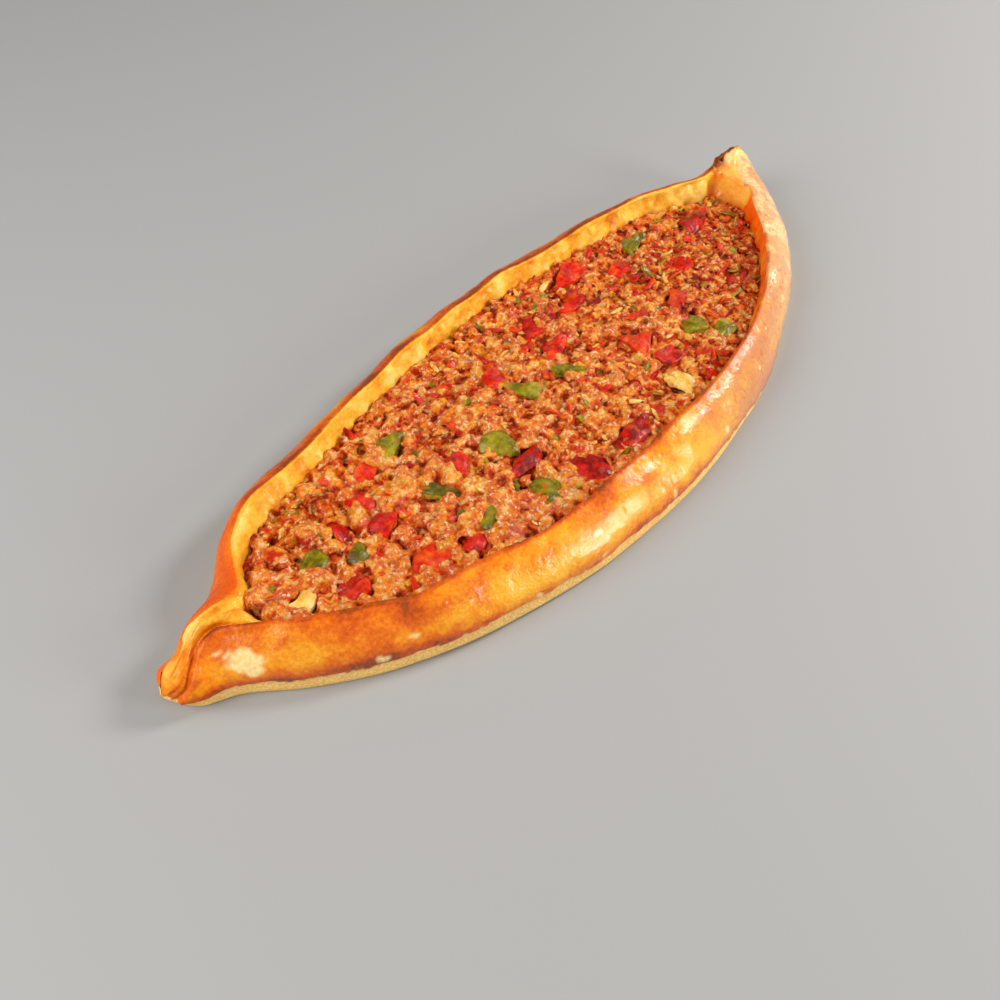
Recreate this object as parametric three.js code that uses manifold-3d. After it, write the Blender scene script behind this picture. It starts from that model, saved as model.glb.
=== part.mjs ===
// A baked Turkish pide: an open, boat-shaped flatbread with a rolled rim and pinched ends, filled with
// chopped meat in a tomato sauce, and set with pieces of pepper, tomato, onion and larger cubes of meat.
//
// Millimetres, +Z up. The bread rests on Z = 0, with the origin under the middle of its bounding box.
// +X runs along the bread to the raised, twisted end, and -Y is the side with the broad rolled rim
// ("near"). The other side, +Y, is "far".
//
// The crust is a loft of cross-sections across X. Each section is worked out from a few curves along X:
// the two feet, where the outside meets the resting plane, the two crests of the rim, and the inner walls.
import * as THREE from "three";
import { mergeVertices } from "three/addons/utils/BufferGeometryUtils.js";
import Module from "manifold-3d";

const wasm = await Module();
wasm.setup();

// Driving dimensions
const LENGTH = 380;
const WIDTH = 142;
const RIM_HEIGHT = 22.5;
const FLOOR = 6; // dough under the filling
const FILL_DEPTH = 8.5; // filling above that floor
const GAP = 0.35; // clearance between a topping and the filling it sits in
const RIM_GAP = 0.55; // clearance between the filling and the crust
const FOOT_ROUND = 3; // how far the outside curls in under the foot
const OUTSIDE_POWER = 1.75; // roundness of the outer faces: 1 is a straight slope, 2 a quarter ellipse
const UNEVEN = 0.7; // how much the hand-rolled rim rises and falls along its length

// Mesh fineness
const STATIONS = 60;
const OUTSIDE_STEPS = 7;
const WALL_STEPS = 4;
const FLOOR_STEPS = 3;
const FILL_GRID = [28, 9];

const HALF = LENGTH / 2;
const HALF_WIDTH = WIDTH / 2;

// Curves along the bread. Each point is [x, value]: x is a share of the half length, and the value a
// share of the half width or, for heights, of the rim height.
const NEAR_FOOT = curve([
  [-1, 0.25], [-0.97, 0.115], [-0.905, 0], [-0.815, -0.24], [-0.685, -0.5], [-0.475, -0.76],
  [-0.21, -0.945], [0.03, -1], [0.315, -0.93], [0.58, -0.72], [0.75, -0.51], [0.855, -0.32],
  [0.93, -0.11], [0.975, 0.1], [1, 0.24],
]);
const FAR_FOOT = curve([
  [-1, 0.28], [-0.98, 0.35], [-0.925, 0.405], [-0.84, 0.48], [-0.78, 0.57], [-0.71, 0.72],
  [-0.62, 0.82], [-0.475, 0.875], [-0.265, 0.945], [0, 1], [0.24, 0.97], [0.475, 0.875],
  [0.63, 0.785], [0.765, 0.63], [0.87, 0.48], [0.945, 0.41], [1, 0.35],
]);
const NEAR_CREST = curve([
  [-1, 0.255], [-0.985, 0.175], [-0.96, 0.185], [-0.91, 0.225], [-0.87, 0.205], [-0.84, 0.12],
  [-0.815, 0.05], [-0.78, -0.07], [-0.72, -0.185], [-0.655, -0.3], [-0.59, -0.44],
  [-0.48, -0.525], [-0.315, -0.675], [-0.08, -0.745], [0.13, -0.765], [0.25, -0.755],
  [0.39, -0.705], [0.55, -0.575], [0.64, -0.46], [0.75, -0.26], [0.84, -0.02], [0.9, 0.13],
  [0.96, 0.24], [1, 0.275],
]);
const FAR_CREST = curve([
  [-1, 0.27], [-0.95, 0.285], [-0.9, 0.31], [-0.86, 0.32], [-0.82, 0.305], [-0.785, 0.3],
  [-0.765, 0.37], [-0.745, 0.47], [-0.7, 0.57], [-0.66, 0.63], [-0.62, 0.66], [-0.49, 0.68],
  [-0.285, 0.755], [-0.13, 0.8], [0.07, 0.81], [0.205, 0.795], [0.325, 0.735], [0.46, 0.68],
  [0.59, 0.62], [0.67, 0.575], [0.725, 0.49], [0.77, 0.42], [0.84, 0.34], [0.92, 0.345],
  [1, 0.315],
]);
const NEAR_HEIGHT = curve([
  [-1, 0.2], [-0.985, 0.42], [-0.95, 0.62], [-0.9, 0.86], [-0.82, 1.02], [-0.7, 1],
  [0, 0.98], [0.6, 1.02], [0.8, 1.1], [0.9, 1.16], [0.97, 1.22], [1, 1.12],
]);
const FAR_HEIGHT = curve([
  [-1, 0.2], [-0.985, 0.42], [-0.95, 0.6], [-0.9, 0.76], [-0.82, 0.88], [-0.7, 0.98],
  [0, 0.96], [0.6, 1], [0.8, 1.08], [0.9, 1.14], [0.97, 1.26], [1, 1.2],
]);
// How far the inner walls slope in from the crests, as a share of the half width.
const NEAR_WALL = curve([[-1, 0.05], [-0.5, 0.06], [0.5, 0.07], [0.85, 0.06], [1, 0.05]]);
const FAR_WALL = curve([
  [-1, 0.05], [-0.82, 0.14], [-0.785, 0.14], [-0.74, 0.12], [-0.68, 0.2], [-0.55, 0.17],
  [-0.4, 0.1], [0.7, 0.1], [0.85, 0.07], [1, 0.06],
]);
// Depth of the hollow: full between the ends, and only a crease over the closed ends.
const HOLLOW = curve([
  [-1, 0.05], [-0.975, 0.3], [-0.86, 0.4], [-0.825, 0.3], [-0.79, 1], [0.88, 1], [0.92, 0.3],
  [0.96, 0.12], [1, 0.05],
]);
// The underside, which lifts off the resting plane at both ends.
const UNDERSIDE = curve([
  [-1, 0.16], [-0.985, 0.05], [-0.96, 0], [-0.8, 0], [0, 0], [0.8, 0], [0.87, 0.02], [0.94, 0.16],
  [1, 0.42],
]);

// A smooth function through points, with no overshoot between them (monotone cubic).
function curve(points) {
  const slope = points.slice(1).map(([x, y], i) => (y - points[i][1]) / (x - points[i][0]));
  const tangent = points.map((_, i) => {
    const [before, after] = [slope[i - 1] ?? slope[i], slope[i] ?? slope[i - 1]];
    return before * after <= 0 ? 0 : (2 * before * after) / (before + after);
  });
  return (x) => {
    const last = points.length - 2;
    const i = Math.min(last, Math.max(0, points.findIndex((p) => p[0] > x) - 1));
    const at = x >= points[last + 1][0] ? last : i;
    const [[x0, y0], [x1, y1]] = [points[at], points[at + 1]];
    const width = x1 - x0;
    const t = Math.min(1, Math.max(0, (x - x0) / width));
    return (
      y0 + t * t * (3 - 2 * t) * (y1 - y0) +
      width * t * (1 - t) * ((1 - t) * tangent[at] - t * tangent[at + 1])
    );
  };
}

// Everything a cross-section at x needs, in millimetres.
function sectionAt(x) {
  const s = x / HALF;
  const near = { foot: NEAR_FOOT(s) * HALF_WIDTH, y: NEAR_CREST(s) * HALF_WIDTH };
  const far = { foot: FAR_FOOT(s) * HALF_WIDTH, y: FAR_CREST(s) * HALF_WIDTH };
  near.z = NEAR_HEIGHT(s) * RIM_HEIGHT + UNEVEN * Math.sin(x / 8.3 + 1.5 * Math.sin(x / 23));
  far.z = FAR_HEIGHT(s) * RIM_HEIGHT + UNEVEN * Math.sin(x / 6.7 + 1.8 * Math.sin(x / 31));
  near.wall = NEAR_WALL(s) * HALF_WIDTH;
  far.wall = FAR_WALL(s) * HALF_WIDTH;
  // Near the ends the walls meet before they reach the floor, so the floor rises there.
  const room = Math.max(0.6, far.y - near.y) * 0.46;
  const share = Math.min(1, room / near.wall, room / far.wall) ** 1.4 * HOLLOW(s);
  for (const side of [near, far]) {
    side.wall = Math.min(side.wall, room);
    side.base = side.z - (side.z - FLOOR) * share;
  }
  return { near, far, under: UNDERSIDE(s) * RIM_HEIGHT };
}

// The inner surface from the near crest across to the far crest, as [y, z] points.
function innerSurface({ near, far }) {
  const wall = (side, sign) =>
    Array.from({ length: WALL_STEPS + 1 }, (_, i) => {
      const t = i / WALL_STEPS;
      const fall = t * t * (3 - 2 * t) * 0.6 + t * 0.4;
      return [side.y + sign * side.wall * t, side.z + (side.base - side.z) * fall];
    });
  const [left, right] = [wall(near, 1), wall(far, -1).reverse()];
  const [from, to] = [left[WALL_STEPS], right[0]];
  const floor = Array.from({ length: FLOOR_STEPS - 1 }, (_, i) => {
    const t = (i + 1) / FLOOR_STEPS;
    return [from[0] + (to[0] - from[0]) * t, from[1] + (to[1] - from[1]) * t];
  });
  return [...left, ...floor, ...right];
}

// One outer face, from the foot up to the crest, as [y, z] points.
function outerFace(side, under) {
  const width = side.y - side.foot;
  const height = side.z - under;
  return Array.from({ length: OUTSIDE_STEPS }, (_, i) => {
    const angle = ((i + 0.35) / OUTSIDE_STEPS) * (Math.PI / 2);
    const out = Math.cos(angle) ** (2 / OUTSIDE_POWER);
    const up = Math.sin(angle) ** (2 / OUTSIDE_POWER);
    return [side.y - width * out, under + height * up];
  });
}

// A closed cross-section: the underside's two corners, near outside, inner surface, far outside.
function crustSection(x) {
  const section = sectionAt(x);
  const { near, far, under } = section;
  const curl = Math.min(FOOT_ROUND, (far.foot - near.foot) * 0.25);
  return [
    [near.foot + curl, under],
    ...outerFace(near, under),
    ...innerSurface(section),
    ...outerFace(far, under).reverse(),
    [far.foot - curl, under],
  ];
}

// A closed solid through cross-sections that all have the same number of [y, z] points.
function loft(sections) {
  const count = sections[0].points.length;
  const positions = sections.flatMap(({ x, points }) => points.flatMap(([y, z]) => [x, y, z]));
  const index = [];
  for (let s = 0; s + 1 < sections.length; s++)
    for (let p = 0; p < count; p++) {
      const [a, b] = [s * count + p, s * count + ((p + 1) % count)];
      index.push(a, b, a + count, b, b + count, a + count);
    }
  for (const s of [0, sections.length - 1]) {
    const { x, points } = sections[s];
    const middle = positions.length / 3;
    positions.push(x, mean(points.map(([y]) => y)), mean(points.map(([, z]) => z)));
    for (let p = 0; p < count; p++) {
      const edge = [s * count + p, s * count + ((p + 1) % count)];
      index.push(middle, ...(s === 0 ? edge.reverse() : edge));
    }
  }
  return closedSolid(positions, index);
}

function mean(values) {
  return values.reduce((sum, v) => sum + v, 0) / values.length;
}

// Vertices and triangles as a manifold solid, turned to face outwards.
function closedSolid(positions, index) {
  const geometry = new THREE.BufferGeometry();
  geometry.setAttribute("position", new THREE.Float32BufferAttribute(positions, 3));
  geometry.setIndex(index);
  return solidOf(geometry);
}

function solidOf(geometry) {
  const bare = geometry.clone();
  bare.deleteAttribute("normal");
  bare.deleteAttribute("uv");
  const merged = mergeVertices(bare, 1e-4);
  const make = (triVerts) =>
    new wasm.Manifold(
      new wasm.Mesh({ numProp: 3, vertProperties: merged.attributes.position.array, triVerts }),
    );
  const triangles = new Uint32Array(merged.index.array);
  const made = make(triangles);
  if (made.volume() > 0) return made;
  for (let i = 0; i < triangles.length; i += 3)
    [triangles[i + 1], triangles[i + 2]] = [triangles[i + 2], triangles[i + 1]];
  return make(triangles);
}

function meshOf(name, solid, material) {
  const { vertProperties, triVerts } = solid.getMesh();
  const geometry = new THREE.BufferGeometry();
  geometry.setAttribute("position", new THREE.BufferAttribute(vertProperties, 3));
  geometry.setIndex(new THREE.BufferAttribute(triVerts, 1));
  geometry.computeVertexNormals();
  const mesh = new THREE.Mesh(geometry, material);
  mesh.name = name;
  return mesh;
}

// Stations crowd towards both ends, where the outline turns quickly.
function stations(from, to, count) {
  const even = Array.from({ length: count + 1 }, (_, i) => i / count);
  return even.map((t) => {
    const crowded = 0.5 - 0.5 * Math.cos(Math.PI * t);
    return from + (to - from) * (0.55 * t + 0.45 * crowded);
  });
}

// The crust

const CRUST_STATIONS = stations(-HALF, HALF, STATIONS);

function crustSolid() {
  return loft(CRUST_STATIONS.map((x) => ({ x, points: crustSection(x) })));
}

// The filling

// Height of the filling's top: a low dome, lower towards the raised end, with soft uneven lumps.
function fillTop(x, y) {
  const s = x / HALF;
  const across = (y / HALF_WIDTH - 0.03) / 0.75;
  const dome = 1.6 * (1 - across * across) - 0.6;
  const sink = -2.2 * Math.max(0, s - 0.45) - 1.2 * Math.max(0, -s - 0.6);
  const lumps =
    0.55 * Math.sin(x / 6.1 + 1.3 * Math.sin(y / 9)) * Math.cos(y / 5.3 + 0.7 * Math.sin(x / 11)) +
    0.45 * Math.sin(x / 3.7 + y / 7.1) * Math.sin(y / 4.1 - x / 13);
  return FLOOR + FILL_DEPTH + dome + sink + lumps;
}

// The hollow inside the crust, open upwards and kept clear of the crust by a gap, which is wider
// towards the ends, where the walls turn inwards.
function hollowSolid() {
  const lid = 3 * RIM_HEIGHT;
  const inside = CRUST_STATIONS.filter((x) => x > -0.8 * HALF && x < 0.895 * HALF);
  const sections = inside.map((x) => {
    const gap = RIM_GAP * (1 + 2 * (x / HALF) ** 6);
    const inner = innerSurface(sectionAt(x));
    const shifted = inner.map(([y, z], i) => {
      const [before, after] = [inner[Math.max(0, i - 1)], inner[Math.min(inner.length - 1, i + 1)]];
      const along = new THREE.Vector2(after[0] - before[0], after[1] - before[1]).normalize();
      return [y - along.y * gap, z + along.x * gap];
    });
    const [first, last] = [shifted[0], shifted[shifted.length - 1]];
    return { x, points: [...shifted, [last[0], lid], [first[0], lid]] };
  });
  return loft(sections);
}

// A block whose top is the filling's surface, as wide and long as the hollow and more.
function fillingBlock() {
  const [nx, ny] = FILL_GRID;
  const positions = [];
  for (let i = 0; i <= nx; i++)
    for (let j = 0; j <= ny; j++) {
      const x = ((i / nx) * 1.78 - 0.86) * HALF;
      const y = ((j / ny) * 1.64 - 0.78) * HALF_WIDTH;
      positions.push(x, y, fillTop(x, y));
    }
  const top = positions.length / 3;
  for (let k = 0; k < top; k++) positions.push(positions[3 * k], positions[3 * k + 1], FLOOR / 2);
  const index = [];
  const quad = (a, b, c, d) => index.push(a, b, c, a, c, d);
  const at = (i, j) => i * (ny + 1) + j;
  for (let i = 0; i < nx; i++)
    for (let j = 0; j < ny; j++) {
      const corners = [at(i, j), at(i + 1, j), at(i + 1, j + 1), at(i, j + 1)];
      quad(...corners);
      quad(...corners.map((k) => k + top).reverse());
    }
  const wall = (a, b) => quad(b, a, a + top, b + top);
  for (let i = 0; i < nx; i++) {
    wall(at(i, 0), at(i + 1, 0));
    wall(at(i + 1, ny), at(i, ny));
  }
  for (let j = 0; j < ny; j++) {
    wall(at(nx, j), at(nx, j + 1));
    wall(at(0, j + 1), at(0, j));
  }
  return closedSolid(positions, index);
}

// Toppings: the pieces as large as a berry, half sunk in the filling

// Each row is [kind, x, y, length, width, turn in degrees, tilt in degrees].
const TOPPINGS = [
  ["red_pepper", -92, 18.5, 13, 10, 65, 8], ["red_pepper", -106.5, 14, 13, 6, 75, 14],
  ["red_pepper", -95, 4, 17, 9, 12, -8], ["red_pepper", -80, 26.5, 12, 8, 20, 8],
  ["red_pepper", -55, 2, 11, 9, 70, -10], ["red_pepper", -9, 21.5, 12, 9, 40, 8],
  ["red_pepper", 26, 28.5, 13, 10, 60, -8], ["red_pepper", 22, 13, 16, 9, 10, 6],
  ["red_pepper", 66, 37.5, 20, 10, 5, 8], ["red_pepper", 52, 26, 19, 9, 20, -6],
  ["red_pepper", 84, 22, 16, 8, 0, 8], ["red_pepper", 105, 2, 13, 9, 20, -8],
  ["red_pepper", -22, -38.5, 19, 13, 75, 8], ["red_pepper", 2, -41, 21, 9, 4, -6],
  ["red_pepper", -36, -18, 22, 7, 5, 8], ["red_pepper", 49, -28, 13, 9, -30, 6],
  ["red_pepper", -80, -27, 11, 8, 80, -8], ["red_pepper", 136, 15, 20, 10, 10, 6],
  ["tomato", -122.5, -6.5, 18, 12, 5, 0], ["tomato", -95, -20, 17, 14, 20, 0],
  ["tomato", 47, -13, 14, 12, 70, 0], ["tomato", 82, -10, 12, 10, 20, 0],
  ["green_pepper", -64, 28, 19, 8, 15, 12], ["green_pepper", -69, -2, 18, 6, -65, -12],
  ["green_pepper", -36, -4, 15, 14, 30, 8], ["green_pepper", -5, 7, 18, 7, -60, 10],
  ["green_pepper", 14, 1, 14, 6, -50, -10], ["green_pepper", 103, 28, 17, 9, 15, 8],
  ["green_pepper", 72, -24, 15, 11, 55, -8], ["green_pepper", 80, -37.5, 12, 8, -10, 8],
  ["green_pepper", -44, -34, 15, 12, 50, 8], ["green_pepper", -67, -27, 14, 10, 70, -8],
  ["green_pepper", -110.5, 1, 10, 8, 45, 8], ["green_pepper", -125, 12, 15, 11, 10, -8],
  ["onion", 38, -41, 17, 8, 85, 8], ["onion", -138, 3, 15, 7, 0, 10],
  ["meat_cube", -103, 29, 15, 13, 10, 4], ["meat_cube", -117, 24, 14, 12, 55, -4],
  ["meat_cube", -131, 22, 11, 10, 20, 4], ["meat_cube", -50, 16, 12, 10, 0, 4],
];
const THICKNESS = { red_pepper: 3.6, green_pepper: 3.4, onion: 3.2, tomato: 9, meat_cube: 9 };
// How much of a piece's thickness stands above the filling.
const PROUD = { red_pepper: 0.45, green_pepper: 0.45, onion: 0.5, tomato: 0.28, meat_cube: 0.3 };
const CURL = { red_pepper: 0.016, green_pepper: 0.02, onion: 0.05, tomato: 0, meat_cube: 0 };

// A rounded slab of the given size, curled down along its length, or a rounded lump where thick.
function toppingSolid([kind, , , length, width], gap) {
  const thickness = THICKNESS[kind];
  const lump = thickness > 6;
  const shape = new THREE.SphereGeometry(0.5, 8, lump ? 5 : 4);
  shape.rotateX(Math.PI / 2);
  const position = shape.attributes.position;
  const power = lump ? 0.62 : 0.5; // under 1 swells the sphere towards a box
  const swell = (v) => Math.sign(v) * 0.5 * Math.abs(2 * v) ** power;
  for (let i = 0; i < position.count; i++) {
    const x = swell(position.getX(i)) * (length + 2 * gap);
    const y = swell(position.getY(i)) * (width + 2 * gap);
    const z = swell(position.getZ(i)) * (thickness + 2 * gap);
    position.setXYZ(i, x, y, z - CURL[kind] * x * x);
  }
  return solidOf(shape);
}

function placedTopping(row, gap = 0) {
  const [kind, x, y, , , turn, tilt] = row;
  const z = fillTop(x, y) + (PROUD[kind] - 0.5) * THICKNESS[kind];
  return toppingSolid(row, gap).rotate([tilt, 0, turn]).translate([x, y, z]);
}

// The object

const MATERIALS = {
  crust: new THREE.MeshStandardMaterial({ color: 0xd98a33, roughness: 0.45 }),
  filling: new THREE.MeshStandardMaterial({ color: 0xb5541f, roughness: 0.35 }),
  red_pepper: new THREE.MeshStandardMaterial({ color: 0xb81408, roughness: 0.25 }),
  green_pepper: new THREE.MeshStandardMaterial({ color: 0x7d7f1c, roughness: 0.3 }),
  tomato: new THREE.MeshStandardMaterial({ color: 0xc02a10, roughness: 0.2 }),
  onion: new THREE.MeshStandardMaterial({ color: 0xe0bd62, roughness: 0.3 }),
  meat_cube: new THREE.MeshStandardMaterial({ color: 0xb0642c, roughness: 0.4 }),
};

const pide = new THREE.Group();
pide.name = "turkish_pide";

pide.add(meshOf("crust", crustSolid(), MATERIALS.crust));

let filling = fillingBlock().intersect(hollowSolid());
const counts = {};
for (const row of TOPPINGS) {
  const [kind] = row;
  counts[kind] = (counts[kind] ?? 0) + 1;
  const name = `${kind}_${String(counts[kind]).padStart(2, "0")}`;
  pide.add(meshOf(name, placedTopping(row), MATERIALS[kind]));
  filling = filling.subtract(placedTopping(row, GAP));
}
pide.add(meshOf("filling", filling, MATERIALS.filling));

export default pide;
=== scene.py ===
import bmesh
import bpy
import numpy as np
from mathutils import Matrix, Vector


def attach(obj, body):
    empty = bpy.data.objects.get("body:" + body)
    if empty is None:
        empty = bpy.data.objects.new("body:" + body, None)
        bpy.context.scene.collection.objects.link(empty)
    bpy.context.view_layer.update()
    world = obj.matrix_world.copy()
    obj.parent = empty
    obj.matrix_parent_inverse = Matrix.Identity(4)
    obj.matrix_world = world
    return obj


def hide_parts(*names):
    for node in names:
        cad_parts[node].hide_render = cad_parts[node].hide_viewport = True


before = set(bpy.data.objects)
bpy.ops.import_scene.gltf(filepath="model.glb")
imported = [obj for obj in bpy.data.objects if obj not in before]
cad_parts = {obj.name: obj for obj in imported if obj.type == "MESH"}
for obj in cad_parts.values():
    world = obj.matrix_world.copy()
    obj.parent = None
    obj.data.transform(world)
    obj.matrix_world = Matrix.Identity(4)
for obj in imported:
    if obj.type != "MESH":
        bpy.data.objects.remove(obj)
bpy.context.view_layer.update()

# The looks of a Turkish pide. Lengths in this file are millimetres unless a comment says otherwise,
# and are turned into metres where a mesh, light or camera is made.

MM = 0.001


# ---------------------------------------------------------------------------------------------
# Camera and light

MIDDLE = (0, 0, 0)
CAMERA_PLACE = (-261.1, -184.8, 325.6)
CAMERA_TARGET = (-48.1, -13.7, 0.0)


def aim(obj, place, target):
    """Put an object into the scene at a place, with its own -Z towards the target."""
    obj.location = Vector(place) * MM
    obj.rotation_euler = (Vector(target) - Vector(place)).to_track_quat("-Z", "Y").to_euler()
    bpy.context.scene.collection.objects.link(obj)
    return obj


camera = bpy.data.cameras.new("camera")
camera.lens = 38.7
camera.sensor_width = 36.0
camera.clip_start = 0.01
bpy.context.scene.camera = aim(bpy.data.objects.new("camera", camera), CAMERA_PLACE, CAMERA_TARGET)


def area_light(name, place, size, watts, colour):
    """A round light that points at the middle of the bread."""
    light = bpy.data.lights.new(name, "AREA")
    light.shape = "DISK"
    light.size = size * MM
    light.energy = watts
    light.color = colour
    aim(bpy.data.objects.new(name, light), place, MIDDLE)


area_light("key", (960, -470, 760), 360, 12.8, (1.0, 0.965, 0.92))
area_light("front", (360, -1040, 400), 420, 5.6, (1.0, 0.975, 0.95))
area_light("fill", (-820, 300, 620), 800, 9.2, (1.0, 0.98, 0.95))

world = bpy.data.worlds.new("studio")
world.use_nodes = True
background = world.node_tree.nodes["Background"]
background.inputs["Color"].default_value = (1.0, 0.985, 0.965, 1.0)
background.inputs["Strength"].default_value = 0.35
bpy.context.scene.world = world
bpy.context.scene.view_settings.view_transform = "Standard"


# ---------------------------------------------------------------------------------------------
# Numbers: smooth noise, cells and small helpers, all on arrays of points

def hashed(cell, seed):
    """A number from 0 to 1 for each whole-number cell."""
    # The multipliers are large odd numbers, so that neighbouring cells get unlike numbers
    mixed = cell[..., 0] * 374761393 + cell[..., 1] * 668265263 + cell[..., 2] * 1442695041
    mixed = (mixed + seed * 974634777) & 0xFFFFFFFF
    mixed = ((mixed ^ (mixed >> 13)) * 1274126177) & 0xFFFFFFFF
    mixed = ((mixed ^ (mixed >> 15)) * 2246822519) & 0xFFFFFFFF
    return ((mixed ^ (mixed >> 16)) & 0xFFFFFF) / 0xFFFFFF


def noise(points, size, seed):
    """Smooth noise from -1 to 1 with features about as large as size."""
    scaled = np.asarray(points, float) / size
    cell = np.floor(scaled).astype(np.int64)
    part = scaled - cell
    part = part * part * part * (part * (6 * part - 15) + 10)
    total = np.zeros(scaled.shape[:-1])
    for corner in np.ndindex(2, 2, 2):
        offset = np.array(corner)
        weight = np.prod(np.where(offset == 1, part, 1 - part), axis=-1)
        total += weight * hashed(cell + offset, seed)
    return 2 * total - 1


def fractal(points, size, seed, octaves=3):
    """Noise from -1 to 1 with finer noise on top, each octave half the size and half the strength."""
    total = sum(noise(points, size / 2**k, seed + 17 * k) / 2**k for k in range(octaves))
    return total / (2 - 0.5 ** (octaves - 1))


def cells(points, size, seed):
    """Distance in the plane to the nearest of the scattered points, one in each cell, as a share of size."""
    scaled = np.asarray(points, float) / size
    cell = np.floor(scaled).astype(np.int64)
    nearest = np.full(scaled.shape[:-1], np.inf)
    for offset in np.ndindex(3, 3):
        other = cell + np.array(offset) - 1
        key = np.concatenate([other, np.zeros_like(other[..., :1])], -1)
        spot = other + np.stack([hashed(key, seed + 1), hashed(key, seed + 2)], -1)
        nearest = np.minimum(nearest, np.linalg.norm(scaled - spot, axis=-1))
    return nearest


def smoothstep(value, low, high):
    """0 below low, 1 above high and an S-shaped rise between them."""
    t = np.clip((value - low) / (high - low), 0, 1)
    return t * t * (3 - 2 * t)


def bump(value, centre, width):
    """A rounded peak of height 1 at the centre."""
    return np.exp(-(((value - centre) / width) ** 2))


# ---------------------------------------------------------------------------------------------
# Meshes and materials

def piece(name, points, faces, material, masks):
    """A smooth mesh object, in place, from points in millimetres; masks are numbers for each point."""
    mesh = bpy.data.meshes.new(name)
    mesh.from_pydata((np.asarray(points) * MM).tolist(), [], faces)
    for mask, values in masks.items():
        layer = mesh.attributes.new(mask, "FLOAT", "POINT")
        layer.data.foreach_set("value", np.asarray(values, np.float32).ravel())
    mesh.polygons.foreach_set("use_smooth", [True] * len(mesh.polygons))
    mesh.materials.append(material)
    obj = bpy.data.objects.new(name, mesh)
    bpy.context.scene.collection.objects.link(obj)
    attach(obj, "root")
    return obj


def linear(colour):
    """An sRGB colour from 0 to 255 as the linear colour that a socket takes."""
    share = np.array(colour, float) / 255
    return (*np.where(share <= 0.04045, share / 12.92, ((share + 0.055) / 1.055) ** 2.4), 1.0)


class Shader:
    """A material's node tree, with one call for each kind of node."""

    def __init__(self, name):
        self.material = bpy.data.materials.new(name)
        self.material.use_nodes = True
        self.tree = self.material.node_tree
        self.surface = self.tree.nodes["Principled BSDF"]

    def put(self, kind, inputs, **settings):
        node = self.tree.nodes.new(kind)
        for key, value in settings.items():
            setattr(node, key, value)
        for key, value in inputs.items():
            self.set(node.inputs[key], value)
        return node

    def set(self, socket, value):
        if isinstance(value, bpy.types.NodeSocket):
            self.tree.links.new(value, socket)
        else:
            socket.default_value = value

    def mask(self, name):
        return self.put("ShaderNodeAttribute", {}, attribute_name=name).outputs["Fac"]

    def place(self):
        return self.put("ShaderNodeTexCoord", {}).outputs["Object"]

    def noise(self, size, detail=3.0, rough=0.55, warp=0.0, stretch=(1, 1, 1), shift=0.0):
        """Noise whose features are about as large as size; another shift gives another pattern."""
        inputs = {"Vector": self.place(), "Scale": stretch, "Location": (shift, shift, 0)}
        where = self.put("ShaderNodeMapping", inputs).outputs["Vector"]
        inputs = {"Vector": where, "Scale": 1.0 / (size * MM), "Detail": detail}
        inputs.update({"Roughness": rough, "Distortion": warp})
        return self.put("ShaderNodeTexNoise", inputs).outputs["Fac"]

    def math(self, operation, a, b, clamp=False):
        made = self.put("ShaderNodeMath", {0: a, 1: b}, operation=operation, use_clamp=clamp)
        return made.outputs[0]

    def spread(self, value, low, high, to_low=0.0, to_high=1.0):
        """A value between low and high carried over smoothly to between to_low and to_high."""
        inputs = {"Value": value, "From Min": low, "From Max": high}
        inputs.update({"To Min": to_low, "To Max": to_high})
        return self.put(
            "ShaderNodeMapRange", inputs, interpolation_type="SMOOTHSTEP"
        ).outputs["Result"]

    def mix(self, share, a, b):
        """Colour a turned into colour b by the share."""
        node = self.put("ShaderNodeMix", {}, data_type="RGBA")
        self.set(node.inputs["Factor"], share)
        self.set(node.inputs[6], a if isinstance(a, bpy.types.NodeSocket) else linear(a))
        self.set(node.inputs[7], b if isinstance(b, bpy.types.NodeSocket) else linear(b))
        return node.outputs[2]

    def ramp(self, value, *colours):
        """Colours spread evenly from 0 to 1."""
        node = self.put("ShaderNodeValToRGB", {"Fac": value})
        stops = node.color_ramp.elements
        while len(stops) < len(colours):
            stops.new(0.5)
        for i, colour in enumerate(colours):
            stops[i].position = i / (len(colours) - 1)
            stops[i].color = linear(colour)
        return node.outputs["Color"]

    def relief(self, height, depth):
        """A bump whose height of 1 stands for depth millimetres."""
        inputs = {"Height": height, "Distance": depth * MM, "Strength": 1.0}
        return self.put("ShaderNodeBump", inputs).outputs["Normal"]

    def finish(self, **sockets):
        """Fill the shader's own sockets, named with _ for each space."""
        for name, value in sockets.items():
            self.set(self.surface.inputs[name.replace("_", " ")], value)
        return self.material


# ---------------------------------------------------------------------------------------------
# The crust, as a fine smooth surface through the CAD crust's cross-sections
#
# A section's points are numbered from 0 at the near foot's underside, up the near side, over its crest,
# down into the hollow, and up and over the far rim in the same way. In this part of the file, v is a
# place in that numbering, and s is x as a share of half the bread's length: -1 at the left tip, 1 at
# the right one.

SIDE_STEPS = 7  # points of a section from a foot up to its crest
WALL_STEPS = 4  # from a crest down the inner wall
NEAR_CREST = 1 + SIDE_STEPS
NEAR_BASE = NEAR_CREST + WALL_STEPS
STATION_GAP = 0.5  # two points further apart than this along x are of two sections


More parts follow.
